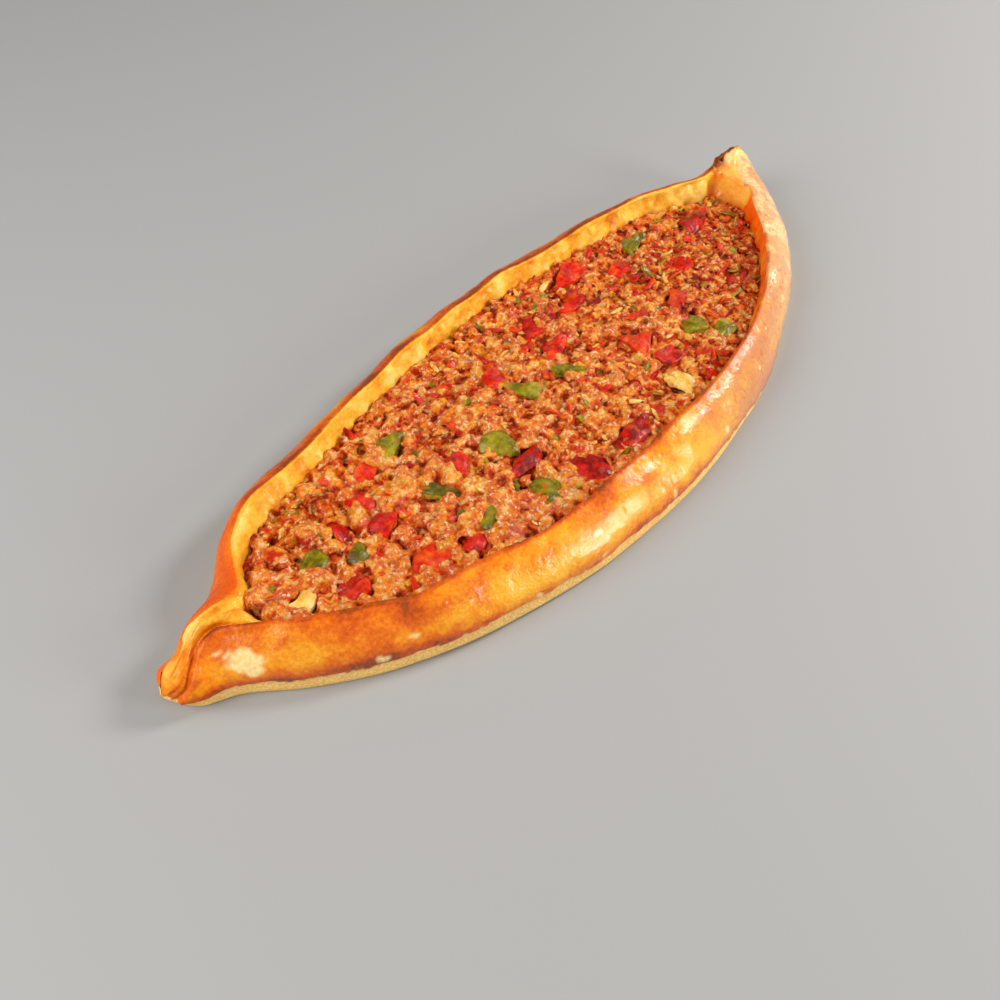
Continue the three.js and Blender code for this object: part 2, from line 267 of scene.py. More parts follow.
def cad_sections():
    """The CAD crust's cross-sections as an array [station, point, xyz]."""
    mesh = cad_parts["crust"].data
    points = np.zeros(len(mesh.vertices) * 3)
    mesh.vertices.foreach_get("co", points)
    points = np.unique(np.round(points.reshape(-1, 3) / MM, 3), axis=0)
    breaks = np.where(np.diff(points[:, 0]) > STATION_GAP)[0] + 1
    sections = []
    for section in np.split(points, breaks):
        # A section with an odd number of points has one more in its middle
        if len(section) % 2:
            middle = np.linalg.norm(section - section.mean(0), axis=1).argmin()
            section = np.delete(section, middle, 0)
        section = section[section[:, 2].argsort()]
        corners, rest = section[:2], section[2:]
        corners, rest = corners[corners[:, 1].argsort()], rest[rest[:, 1].argsort()]
        sections.append(np.vstack([corners[:1], rest, corners[1:]]))
    return np.array(sections)


def resample(grid, at, axis):
    """Values of a grid at fractional places along an axis, smooth through its points."""
    grid = np.moveaxis(grid, axis, 0)
    last = len(grid) - 1
    i = np.clip(np.floor(at).astype(int), 0, last - 1)
    t = (at - i).reshape(-1, *[1] * (grid.ndim - 1))
    a, b, c, d = (grid[np.clip(i + k, 0, last)] for k in (-1, 0, 1, 2))
    made = b + 0.5 * t * (c - a + t * (2 * a - 5 * b + 4 * c - d + t * (3 * (b - c) + d - a)))
    return np.moveaxis(made, 0, axis)


SECTIONS = cad_sections()
FAR_BASE = SECTIONS.shape[1] - 1 - NEAR_BASE
FAR_CREST = FAR_BASE + WALL_STEPS
LAST = SECTIONS.shape[1] - 1
STATION_X = SECTIONS[:, 0, 0]
HALF = STATION_X[-1]

# Pale patches on the near face: each one's x, how far up the face it is as a share, half its length,
# and half its height as a share
PALE_SPOTS = (
    (-167, 0.70, 5.0, 0.15), (-165, 0.56, 2.6, 0.09), (-134, 0.40, 2.2, 0.06), (-122, 0.62, 1.8, 0.04),
    (-79, 0.36, 1.6, 0.05), (-48, 0.74, 2.0, 0.04), (-9, 0.40, 1.2, 0.11), (31, 0.52, 1.3, 0.08),
    (66, 0.66, 1.5, 0.05), (112, 0.70, 1.8, 0.05),
)

# From where to where the ends change shape, as shares of half the length
FLAP = (0.79, 0.83)  # on the left, the near side's flap folds over the hollow
BULB = (0.925, 0.955)  # on the left, the flap turns into the rounded tip
FOLD = (0.832, 0.874)  # on the right, the two sides fold together
CREST_FADES = (0.8, 0.86)  # on the right, the near crest's ridge flattens out

# Steps across the crust, close together where it shows and wide apart under the filling
ACROSS = np.concatenate([
    np.linspace(0, 1, 3, endpoint=False),
    np.linspace(1, NEAR_CREST, 42, endpoint=False),
    np.linspace(NEAR_CREST, NEAR_BASE, 18, endpoint=False),
    np.linspace(NEAR_BASE, FAR_BASE, 8, endpoint=False),
    np.linspace(FAR_BASE, FAR_CREST, 22, endpoint=False),
    np.linspace(FAR_CREST, LAST - 1, 34, endpoint=False),
    np.linspace(LAST - 1, LAST, 4),
])
ALONG = 640  # rows of points along the crust
NEAR_COLUMN = np.abs(ACROSS - NEAR_CREST).argmin()
FAR_COLUMN = np.abs(ACROSS - FAR_CREST).argmin()


def crust_grid():
    """The smooth crust as a grid of points [along, across], a little closer together at the ends."""
    share = np.linspace(0, 1, ALONG)
    x = -HALF + 2 * HALF * (0.8 * share + 0.2 * (0.5 - 0.5 * np.cos(np.pi * share)))
    along = np.interp(x, STATION_X, np.arange(len(STATION_X)))
    grid = resample(resample(SECTIONS, along, 0), ACROSS, 1)
    for _ in range(5):
        grid[:, 3:-3] += 0.5 * (0.5 * (grid[:, 2:-4] + grid[:, 4:-2]) - grid[:, 3:-3])
        grid[1:-1] += 0.5 * (0.5 * (grid[:-2] + grid[2:]) - grid[1:-1])
    return grid


def shaped_ends(grid):
    """The crust with its tips as folded dough: a rolled flap and a bulb on the left, a fold on the right."""
    x, y, z = np.moveaxis(grid, -1, 0)
    s = x / HALF
    width = np.maximum(y[:, FAR_COLUMN] - y[:, NEAR_COLUMN], 0.5)[:, None]
    # t runs from 0 on the near crest to 1 on the far one, and level is the straight line between them
    t = (y - y[:, NEAR_COLUMN, None]) / width
    level = z[:, NEAR_COLUMN, None] * (1 - t) + z[:, FAR_COLUMN, None] * t
    inside = (ACROSS > NEAR_CREST) & (ACROSS < FAR_CREST)
    room = np.minimum(1, width / 7)

    # The flap is a broad roll and a narrow one, with a crease between them
    rolled = 3.0 * bump(t, 0.45, 0.22) + 2.3 * bump(t, 0.92, 0.13)
    rolled -= 0.9 * bump(t, 0.71, 0.06)
    bulb = 3.2 * np.sqrt(np.clip(4 * t * (1 - t), 0, 1))
    to_bulb = smoothstep(-s, *BULB)
    left = smoothstep(-s, *FLAP)
    closed = 1.6 * bump(t, 0.5, 0.35)
    right = smoothstep(s - 0.015 * t, *FOLD)
    shape = room * (left * (rolled * (1 - to_bulb) + bulb * to_bulb) + right * closed)
    z = np.where(inside, z + (left + right) * (level - z) + shape, z)
    # The top of the right tip is a little lower than in the CAD
    z = z - 1.4 * smoothstep(s, 0.93, 0.98) * smoothstep(z, 10, 20)
    # The bulb bulges out on the far side, with a notch before it, and swells the top of the near face
    far_side = smoothstep(ACROSS, FAR_CREST - 4, FAR_CREST)
    y = y + far_side * (1.8 * bump(-s, 0.975, 0.018) - 1.5 * bump(-s, 0.932, 0.02))
    z = z + room * smoothstep(z, 3, 9) * to_bulb * 0.9 * (ACROSS <= NEAR_CREST)
    grid = np.stack([x, y, z], -1)
    # The right end's fold is smoothed across, without its far edge
    soft = smoothstep(s, 0.85, 0.89) * (ACROSS > NEAR_CREST - 3) * (ACROSS < FAR_CREST - 0.6)
    soft = 0.5 * soft[:, 1:-1, None]
    for _ in range(30):
        grid[:, 1:-1] += soft * (0.5 * (grid[:, :-2] + grid[:, 2:]) - grid[:, 1:-1])
    return grid


def below_flap(grid):
    """Millimetres round the section from the near flap's edge, which leaves the crest and curls down
    the face at the bulb."""
    steps = np.linalg.norm(np.diff(grid, axis=1), axis=-1)
    arc = np.concatenate([np.zeros((len(grid), 1)), np.cumsum(steps, axis=1)], axis=1)
    s = grid[:, :1, 0] / HALF
    share = np.clip((-s - 0.9) / 0.09, 0, 1)
    return arc - arc[:, NEAR_COLUMN, None] - 0.6 + 4.5 * share**1.3


def grid_normals(grid):
    """Outward normals of the grid's points."""
    along, across = np.gradient(grid, axis=0), np.gradient(grid, axis=1)
    normal = np.cross(across, along)
    normal /= np.linalg.norm(normal, axis=-1, keepdims=True) + 1e-9
    return normal if normal[len(grid) // 2, len(ACROSS) // 2, 2] > 0 else -normal


class Bread:
    """The crust's smooth surface, with the parts of the bread as shares from 0 to 1 at each point."""

    def __init__(self, grid):
        self.grid = grid
        self.v = v = np.broadcast_to(ACROSS, grid.shape[:2])
        self.x, _, self.z = np.moveaxis(grid, -1, 0)
        self.s = s = self.x / HALF
        # The near outside reaches over the top where the right end is folded together
        near_out = (v <= NEAR_CREST) * 1.0
        folded_over = smoothstep(s, 0.85, 0.87) * (v < FAR_CREST)
        near_out += folded_over * (1 - smoothstep(v, NEAR_CREST - 1, NEAR_CREST + 5) - near_out)
        self.near_out = near_out
        self.far_out = (v >= FAR_CREST) * 1.0
        self.outside = self.near_out + self.far_out
        self.wall = 1 - self.near_out - self.far_out
        self.far_wall = self.wall * (v > FAR_BASE - 0.5)
        self.near_wall = self.wall * (v < NEAR_BASE + 0.5)
        # Height above the foot in millimetres, and as a share of the side's height: 1 on the crest
        self.above = above = self.z - self.z.min(axis=1, keepdims=True)
        near_height, far_height = above[:, NEAR_COLUMN, None], above[:, FAR_COLUMN, None]
        self.rise = np.where(v < LAST / 2, above / near_height, above / far_height)

        # The floury strip along the foot, uneven along its top edge
        flat = grid * [1, 1, 0]
        strip = 7.0 - 1.6 * smoothstep(s, -0.4, 0.05) - 1.8 * smoothstep(s, 0.15, 0.6)
        strip += 1.1 * fractal(flat, 24, 3) + 0.5 * noise(flat, 4.5, 4) + 0.45 * noise(flat, 1.9, 14)
        strip -= 3.0 * smoothstep(-s, 0.93, 1.0)
        self.strip = strip
        self.flour = 1 - smoothstep(above, strip - 0.25, strip + 0.25)

        # Dents in the far rim's inner wall, in millimetres
        self.dents = 0.8 * noise(grid * [1, 1, 0.6], 9, 8) + 0.75 * noise(grid * [1, 1, 0.7], 4.5, 9)
        self.dents += 0.4 * noise(grid * [1, 1, 0.8], 2.3, 15)
        # The left tip's flap, and the crisp burnt crumples on the far corner of the right tip
        self.from_edge = below_flap(grid)
        self.folded = smoothstep(-s, *FLAP) * (v < FAR_CREST) * smoothstep(1 - np.abs(s), 0.004, 0.012)
        self.burnt = (bump(s, 0.905, 0.028) + bump(s, 0.962, 0.022)) * bump(v, FAR_CREST - 0.4, 2.4)


def crust_lift(bread):
    """How far each point stands out of the smooth surface, in millimetres."""
    grid, v, outside, from_edge = bread.grid, bread.v, bread.outside, bread.from_edge
    lift = 0.75 * fractal(grid, 21, 5) + 0.28 * noise(grid, 8, 6) + 0.08 * noise(grid, 2.6, 7)
    lift *= outside
    # The glazed dough stands proud of the floury strip, bulges at half height and has ridged crests
    lift += 0.55 * outside * (1 - bread.flour)
    lift += 1.0 * bread.near_out * bump(bread.rise, 0.5, 0.22)
    lift += 0.5 * bump(v, NEAR_CREST, 0.45) * (1 - smoothstep(bread.s, *CREST_FADES))
    lift += 0.35 * bump(v, FAR_CREST, 0.5)
    lift += bread.far_wall * bread.dents
    lift += bread.near_wall * (0.7 * noise(grid * [1, 1, 0.6], 7, 10) + 0.35 * noise(grid, 2.8, 16))
    # The near flap's rolled edge with the crease behind it, and the burnt crumples
    lift += bread.folded * (0.8 * bump(from_edge, -2.6, 1.7) - 1.3 * bump(from_edge, 0, 1.1))
    lift += bread.burnt * (2.1 + 2.4 * noise(grid, 2.6, 17) + 0.8 * noise(grid, 1.2, 18))
    # Pits in the glazed faces
    pit = cells(np.stack([bread.x, v * 3.4], -1), 9, 12)
    lift -= outside * 0.35 * smoothstep(-pit, -0.13, -0.02) * (1 - bread.flour)
    return lift * smoothstep(bread.above, 0.3, 3.5)


def far_inside(v):
    """1 on the far rim's inner wall and crest, and 0 elsewhere."""
    return (v > FAR_BASE - 0.5) * (1 - smoothstep(v, FAR_CREST + 0.05, FAR_CREST + 0.5))


def browning(bread, patches, hub):
    """How browned each point is, from 0 to 1, and over 1 where it is burnt.

    patches is noise from -1 to 1, and hub is 1 on the fold that closes the right end.
    """
    s, v, above, rise = bread.s, bread.v, bread.above, bread.rise
    faded = smoothstep(s, 0.0, 0.32)
    crest = bump(v, NEAR_CREST - 0.15, 0.45) * (1 - 0.2 * faded) * (1 - smoothstep(s, *CREST_FADES))
    brown = 0.34 + (0.7 - 0.32 * bread.near_out) * patches + 0.55 * crest
    above_flour = 0.32 * bump(above, bread.strip + 0.9, 1.6)
    brown += bread.near_out * (above_flour - 0.26 * bump(rise, 0.65, 0.2) + 0.12 * faded)
    brown += bread.near_out * (0.24 * smoothstep(-s, 0.5, 0.65) - 0.06 * bump(s, -0.3, 0.25))
    far_edge = bump(v, FAR_CREST + 0.9, 0.9) * (1 - smoothstep(-s, 0.6, 0.75))
    brown += bread.far_out * (0.04 + 0.46 * far_edge)
    # On the far rim's inner wall, browner where its dents sink in and paler where they bulge: painted shade
    # and light on top of the patchy browning
    brown = np.where(far_inside(v) > 0.5, 0.27 + 0.45 * patches - 0.25 * bread.dents, brown)
    brown = np.where(hub > 0.5, 0.25 * patches, brown)
    brown = np.clip(brown, 0, 0.95 - 0.2 * bread.near_out) + bread.burnt * 1.1
    # Browner on the flap's rolled edge from baking, and browner in the crease behind it as painted shade
    brown += bread.folded * (0.3 * bump(bread.from_edge, 0, 1.1) + 0.16 * bump(bread.from_edge, -2.4, 1.8))
    return np.where((-s > 0.9) & (v < FAR_CREST), np.minimum(brown, 0.66), brown)


def paleness(bread, grid):
    """How pale each point is: flecks, the listed spots, and cream-coloured mottling towards the right."""
    x, s, v, rise, near_out = bread.x, bread.s, bread.v, bread.rise, bread.near_out
    flecks = smoothstep(fractal(grid * [0.8, 0.8, 1.6], 7, 31, 3), 0.6, 0.68)
    pale = 0.7 * bread.outside * flecks * (1 - bump(v, NEAR_CREST, 1.3))
    for spot_x, spot_rise, half_length, half_height in PALE_SPOTS:
        reach = ((x - spot_x) / half_length) ** 2 + ((rise - spot_rise) / half_height) ** 2
        ragged = reach + 0.7 * noise(grid, 2.6, 41) + 0.4 * noise(grid, 1.3, 42)
        pale = np.maximum(pale, near_out * (1 - smoothstep(ragged, 0.3, 1.3)))
    pale *= smoothstep(rise, 0.2, 0.35)
    creamy = smoothstep(s, 0.45, 0.8) * (0.28 + 0.55 * smoothstep(fractal(grid, 6.5, 33, 3), -0.22, 0.25))
    right_tip = bread.wall * smoothstep(s, 0.88, 0.93) * (v < FAR_CREST - 1)
    return np.maximum(pale, creamy * (near_out + right_tip))


def crust_masks(bread, grid):
    """What the crust's material reads at each point; grid is the surface with its relief."""
    s, v, near_out, near_wall = bread.s, bread.v, bread.near_out, bread.near_wall
    hub = bread.wall * smoothstep(s, 0.83, 0.85)
    unburnt = 1 - np.clip(bread.burnt, 0, 1)
    inner = far_inside(v)
    inner = (inner + hub * (0.45 - inner)) * unburnt * (1 - 0.7 * smoothstep(-s, 0.92, 0.945))
    # Sauce on the near inner wall, low on the far one, and on the tips; the same orange low on the right
    # end's fold is painted shade
    tips = smoothstep(-s, *FLAP) + smoothstep(s, 0.83, 0.845)
    sauce_and_shade = near_wall * (1 - tips) * (0.45 + 0.55 * smoothstep(s, 0.2, 0.75))
    sauce_and_shade += bread.far_wall * (1 - tips) * 0.45 * smoothstep(-(v - FAR_BASE), -2.6, -0.6)
    sauce_and_shade += 0.5 * bread.far_out * smoothstep(-s, 0.55, 0.75)
    # Painted shade: the lower part of the right end's fold takes the sauce's orange
    sauce_and_shade += 0.8 * hub * (1 - smoothstep(bread.z, 14, 20)) + 0.5 * bread.wall * bump(-s, 0.945, 0.025)
    # A duller, greyer brown on the right part of the near face, but not on its edges
    edges = bump(v, NEAR_CREST - 0.1, 0.5) + 0.5 * bump(bread.above, bread.strip + 0.8, 1.2)
    # The far face and the burnt spots have no glaze, and the left tip and the near crest have less
    gloss = (1 - bread.far_out) * unburnt * (1 - 0.75 * smoothstep(-s, 0.9, 0.95))
    return {
        "brown": browning(bread, fractal(grid * [0.5, 0.5, 1], 17, 21, 4), hub),
        "flour": bread.flour * bread.outside,
        "sauce_and_shade": sauce_and_shade,
        "pale": paleness(bread, grid),
        "inner": inner,
        "wan": smoothstep(s, 0.0, 0.32) * near_out * (1 - edges),
        "glow": (near_wall * (1 - tips) + hub) * (1 - np.clip(1.5 * bread.burnt, 0, 1)),
        "gloss": gloss * (1 - 0.75 * bump(v, NEAR_CREST - 0.4, 2.0) * near_out),
    }


# The bread's colours, as sRGB from 0 to 255, from light to dark where there are several
GLAZE = ((244, 176, 44), (236, 146, 16), (222, 108, 6), (198, 78, 6), (132, 60, 8))
UNGLAZED = ((248, 210, 104), (244, 184, 54), (232, 142, 24), (160, 78, 12))
DULL_BROWN = (198, 138, 94)
FRECKLE = (188, 98, 30)
# Sauce on the dough, also used as painted shade low on the right end's fold
SAUCE_AND_SHADE_ON_DOUGH = (246, 100, 6)
PALE_DOUGH = (252, 222, 158)
FLOUR_IN_HOLLOWS, FLOUR = (242, 178, 90), (255, 220, 142)


def crust_material():
    m = Shader("baked_crust")
    fine = m.noise(1.4, 4)
    mottled = m.noise(11, 6, 0.62, 0.15, (0.7, 0.7, 1))
    brown = m.math("ADD", m.mask("brown"), m.spread(mottled, 0.3, 0.7, -0.24, 0.24))
    brown = m.math("ADD", brown, m.spread(fine, 0.3, 0.7, -0.11, 0.11), clamp=True)
    colour = m.mix(m.mask("inner"), m.ramp(brown, *GLAZE), m.ramp(brown, *UNGLAZED))
    wan = m.math("MULTIPLY", m.mask("wan"), m.spread(mottled, 0.3, 0.62, 0.6, 0.95))
    wan = m.math("MULTIPLY", wan, m.spread(fine, 0.35, 0.65, 0.62, 1.0))
    colour = m.mix(wan, colour, DULL_BROWN)
    # The sauce's orange, which low on the right end's fold is painted shade
    share = m.math("MULTIPLY", m.mask("sauce_and_shade"), m.spread(mottled, 0.25, 0.65, 0.5, 1.0))
    colour = m.mix(share, colour, SAUCE_AND_SHADE_ON_DOUGH)
    share = m.math("MULTIPLY", m.mask("pale"), m.spread(fine, 0.3, 0.6, 0.45, 0.95))
    colour = m.mix(share, colour, PALE_DOUGH)
    freckles = m.spread(m.noise(2.4, 5, 0.6, shift=9.1), 0.54, 0.66, 0.0, 0.6)
    colour = m.mix(m.math("MULTIPLY", freckles, m.mask("wan")), colour, FRECKLE)
    grains = m.noise(0.8, 2)
    dust = m.mix(m.spread(grains, 0.3, 0.7), FLOUR_IN_HOLLOWS, FLOUR)
    colour = m.mix(m.mask("flour"), colour, dust)
    dull = m.math("MAXIMUM", m.mask("flour"), m.math("MULTIPLY", m.mask("inner"), 0.55))
    grit = m.math("MULTIPLY", grains, m.spread(m.mask("flour"), 0, 1, 0.25, 1.0))
    height = m.math("ADD", m.math("MULTIPLY", fine, 0.7), grit)
    wrinkles = m.math("MULTIPLY", m.noise(3.0, 4, 0.6, shift=1.7), 0.45)
    return m.finish(
        Base_Color=colour,
        Roughness=m.spread(dull, 0, 1, 0.42, 0.85),
        Specular_IOR_Level=0.12,
        Coat_Weight=m.math("MULTIPLY", m.spread(dull, 0, 1, 0.9, 0.0), m.mask("gloss")),
        Coat_Roughness=0.15,
        Subsurface_Weight=m.spread(m.mask("glow"), 0, 1, 0.08, 0.95),
        Subsurface_Radius=(0.022, 0.0075, 0.0015),
        Subsurface_Scale=1.0,
        Normal=m.relief(height, 0.55),
        Coat_Normal=m.relief(m.math("ADD", height, wrinkles), 0.22),
    )


def tube_faces(rows, columns):
    """Faces of a closed tube of points [along, across], each end a fan round one more point."""
    at = np.arange(rows * columns).reshape(rows, columns)
    ring = np.concatenate([at, at[:, :1]], axis=1)
    quads = [ring[:-1, :-1], ring[1:, :-1], ring[1:, 1:], ring[:-1, 1:]]
    faces = np.stack(quads, -1).reshape(-1, 4).tolist()
    first, last = rows * columns, rows * columns + 1
    for k in range(columns):
        after = (k + 1) % columns
        faces.append([int(at[0, k]), int(at[0, after]), first])
        faces.append([int(at[-1, after]), int(at[-1, k]), last])
    return faces


def make_crust():
    bread = Bread(shaped_ends(crust_grid()))
    grid = bread.grid + grid_normals(bread.grid) * crust_lift(bread)[..., None]
    points = np.vstack([grid.reshape(-1, 3), grid[0].mean(0), grid[-1].mean(0)])
    at_ends = [0.4, 0.4]
    masks = {
        key: np.append(np.broadcast_to(value, grid.shape[:2]).ravel(), at_ends)
        for key, value in crust_masks(bread, grid).items()
    }
    crust = piece("baked_crust", points, tube_faces(*grid.shape[:2]), crust_material(), masks)
    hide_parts("crust")


make_crust()


# ---------------------------------------------------------------------------------------------
# The filling

FILLING_TOP = 14.2  # height of the filling's top along its sides
DOME = 1.6  # how much higher it is along its middle
HALF_WIDTH = 71  # of the bread
OPEN_DEPTH = 9  # a section has filling where the near wall is at least this high above the hollow's floor
MINCE_END = 0.85  # and where x is under this share of half the length, left of the right end's fold
CORE_BOTTOM = 7.0  # height of the underside of the sauce below the lumps
SHOWN_FROM = 8.2  # the mince's mesh is left out below this height, where it never shows
MINCE_STEP = 0.79  # size of the voxels that the mince is grown together with


def inner_edges():
    """For each station: x, and the y of the near and far inner walls at the filling's surface."""
    rows = []
    for section in SECTIONS:
        near = section[NEAR_CREST:NEAR_BASE + 1]
        far = section[FAR_BASE:FAR_CREST + 1][::-1]
        if near[0, 2] - near[-1, 2] < OPEN_DEPTH or near[0, 0] > MINCE_END * HALF:
            continue
        level = surface(near[0, 0], 0)
        edge = [np.interp(-level, -side[:, 2], side[:, 1]) for side in (near, far)]
        rows.append([near[0, 0], *edge])
    return np.array(rows)


def surface(x, y):
    """Height of the filling's top, without its lumps."""
    s = np.asarray(x, float) / HALF
    across = (np.asarray(y, float) / HALF_WIDTH - 0.03) / 0.75
    sink = 2.6 * np.maximum(0, s - 0.45) + 1.2 * np.maximum(0, -s - 0.6)
    return FILLING_TOP + DOME * (1 - across**2) - sink


EDGES = inner_edges()


def span(x):
    """The y of the near and far inner walls at any x."""
    return np.interp(x, EDGES[:, 0], EDGES[:, 1]), np.interp(x, EDGES[:, 0], EDGES[:, 2])


def coarse(x, y):
    """How coarse the filling is, from 0 to 1: coarser towards the left end and the near side."""
    return np.clip(0.5 - np.asarray(x) / 190 - np.asarray(y) / 260, 0, 1)


def core_shape():
    """Sauce and fine meat under the lumps: points and faces of one closed solid with a knobbly top."""
    rows, columns = 300, 84
    x = np.linspace(EDGES[0, 0] - 1.5, EDGES[-1, 0] + 1.5, rows)[:, None]
    near, far = span(x)
    y = (near - 1.2) + (far - near + 2.4) * np.linspace(0, 1, columns)[None]
    x = np.broadcast_to(x, y.shape)
    flat = np.stack([x, y, np.zeros_like(y)], -1)
    top = np.stack([x, y, surface(x, y) - 1.9 + 0.9 * noise(flat, 6, 45)], -1)
    bottom = flat + [0, 0, CORE_BOTTOM]
    at = np.arange(rows * columns).reshape(rows, columns)
    quads = np.stack([at[:-1, :-1], at[1:, :-1], at[1:, 1:], at[:-1, 1:]], -1).reshape(-1, 4)
    rim = np.concatenate([at[:, 0], at[-1, 1:], at[-2::-1, -1], at[0, -2:0:-1]])
    after, under = np.roll(rim, -1), rows * columns
    skirt = np.stack([rim, rim + under, after + under, after], -1)
    faces = np.vstack([quads, quads[:, ::-1] + under, skirt])
    return np.vstack([top.reshape(-1, 3), bottom.reshape(-1, 3)]), faces.tolist()


def ball(level):
    """The points and faces of a round ball made from an icosahedron."""
    made = bpy.data.meshes.new("ball")
    shape = bmesh.new()
    bmesh.ops.create_icosphere(shape, subdivisions=level, radius=1.0)
    shape.to_mesh(made)
    shape.free()
    points = np.array([vertex.co for vertex in made.vertices])
    faces = np.array([polygon.vertices for polygon in made.polygons])
    bpy.data.meshes.remove(made)
    return points, faces


def turns(count, rng, lean):
    """Random turns as matrices: any heading, and a lean from the upright of up to about lean radians."""
    heading = rng.uniform(0, 2 * np.pi, count)
    tilt, roll = rng.normal(0, lean * 0.5, (2, count))
    one, zero = np.ones(count), np.zeros(count)

    def about(axis, angle):
        c, s = np.cos(angle), np.sin(angle)
        rows = {"x": [one, zero, zero, zero, c, -s, zero, s, c],
                "y": [c, zero, s, zero, one, zero, -s, zero, c],
                "z": [c, -s, zero, s, c, zero, zero, zero, one]}[axis]
        return np.stack(rows, -1).reshape(count, 3, 3)

    return about("z", heading) @ about("x", tilt) @ about("y", roll)


def node_frames(kind):
    """For each CAD piece of a kind: its name, centre, axes as rows (long, wide, thick) and half sizes."""
    found = []
    for name, node in sorted(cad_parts.items()):
        if not name.startswith(kind):
            continue
        points = np.array([vertex.co for vertex in node.data.vertices]) / MM
        centre = 0.5 * (points.min(0) + points.max(0))
        _, _, axes = np.linalg.svd(points - points.mean(0), full_matrices=False)
        axes[2] *= np.sign(axes[2, 2])
        axes[1] = np.cross(axes[2], axes[0])
        reach = np.abs((points - centre) @ axes.T).max(0)
        found.append((name, centre, axes, reach))
    return found


KINDS = ("red_pepper", "tomato", "green_pepper", "onion", "meat_cube")
FRAMES = {kind: node_frames(kind) for kind in KINDS}
# Where the CAD pieces lie: x, y and half length of each
PLACED = np.array([
    [*centre[:2], max(reach[:2])] for kind in KINDS for _, centre, _, reach in FRAMES[kind]
])
WIDEST = 105  # width of the filling where it is widest
TRIES = 60000  # places tried before a scattering gives up
NOTHING = np.zeros((0, 3))


def scatter(count, sizes, rng, taken, spacing, clear):
    """Up to count places, as rows of x, y and size, and the same with the taken ones before them.

    Two places keep apart by the spacing as a share of their sizes together, and a place keeps off a CAD
    piece by clear as a share of its half length. sizes(x, y, share made so far, pick) gives a size.
    """
    low, high = EDGES[0, 0], EDGES[-1, 0]
    spots = np.zeros((len(taken) + count, 3))
    spots[:len(taken)] = taken
    used, made = len(taken), []
    for fx, fy, pick in rng.uniform(0, 1, (TRIES, 3)):
        if len(made) >= count:
            break
        x = low + (high - low) * fx
        near, far = span(x)
        size = sizes(x, near + (far - near) * fy, len(made) / count, pick)
        inset = 0.3 * size
        y = near + inset + (far - near - 2 * inset) * fy
        # Fewer are kept where the filling is narrow, so that they lie evenly over it
        if rng.uniform(0, 1) > (far - near) / WIDEST:
            continue
        gap = np.hypot(spots[:used, 0] - x, spots[:used, 1] - y)
        if (gap < spacing * (spots[:used, 2] + size)).any():
            continue
        gap = np.hypot(PLACED[:, 0] - x, PLACED[:, 1] - y)
        if (gap < clear * PLACED[:, 2] + 0.25 * size).any():
            continue
        spots[used] = (x, y, size)
        used += 1
        made.append((x, y, size))
    return np.array(made), spots[:used]


def lumps(spots, level, rng, squash, rough, rest):
    """Points, faces and knobbliness of lumps at the given places.

    A lump is as high as squash times its width, its surface is uneven by rough, and its middle lies at
    rest times its height above the filling's top.
    """
    shape, faces = ball(level)
    count = len(spots)
    sample = shape[None] + rng.uniform(-500, 500, (count, 1, 3))
    radius = 1 + rough * noise(sample, 0.95, 51) + 0.8 * rough * np.abs(noise(sample, 0.6, 52))
    radius += 0.35 * rough * noise(sample, 0.3, 53) - 0.3 * rough
    stretch = rng.uniform(0.7, 1.4, (count, 1, 3)) * [1, 1, squash]
    body = shape[None] * radius[..., None] * stretch * 0.5 * spots[:, 2][:, None, None]
    body = np.einsum("nij,nkj->nki", turns(count, rng, 0.7), body)
    x, y, size = spots.T
    height = surface(x, y) + rest * size * squash + rng.normal(0, 0.35, count) - 0.8
    body += np.stack([x, y, height], -1)[:, None]
    index = (faces[None] + len(shape) * np.arange(count)[:, None, None]).reshape(-1, 3).tolist()
    return body.reshape(-1, 3), index, np.clip(0.5 + 0.9 * (radius - 1) / rough, 0, 1)


def fused(shapes, step):
    """Overlapping closed shapes grown together into one, as points, normals and faces."""
    points, faces = [], []
    for shape_points, shape_faces in shapes:
        start = sum(len(p) for p in points)
        points.append(shape_points)
        faces += [[start + k for k in face] for face in shape_faces]
    mesh = bpy.data.meshes.new("fused")
    mesh.from_pydata((np.vstack(points) * MM).tolist(), [], faces)
    obj = bpy.data.objects.new("fused", mesh)
    bpy.context.scene.collection.objects.link(obj)
    remesh = obj.modifiers.new("remesh", "REMESH")
    remesh.mode = "VOXEL"
    remesh.voxel_size = step * MM
    made = obj.evaluated_get(bpy.context.evaluated_depsgraph_get()).to_mesh()
    co, normal = np.zeros((2, len(made.vertices) * 3))
    made.vertices.foreach_get("co", co)
    made.vertices.foreach_get("normal", normal)
    quads = np.zeros(len(made.polygons) * 4, int)
    made.polygons.foreach_get("vertices", quads)
    bpy.data.objects.remove(obj)
    bpy.data.meshes.remove(mesh)
    return co.reshape(-1, 3) / MM, normal.reshape(-1, 3), quads.reshape(-1, 4)


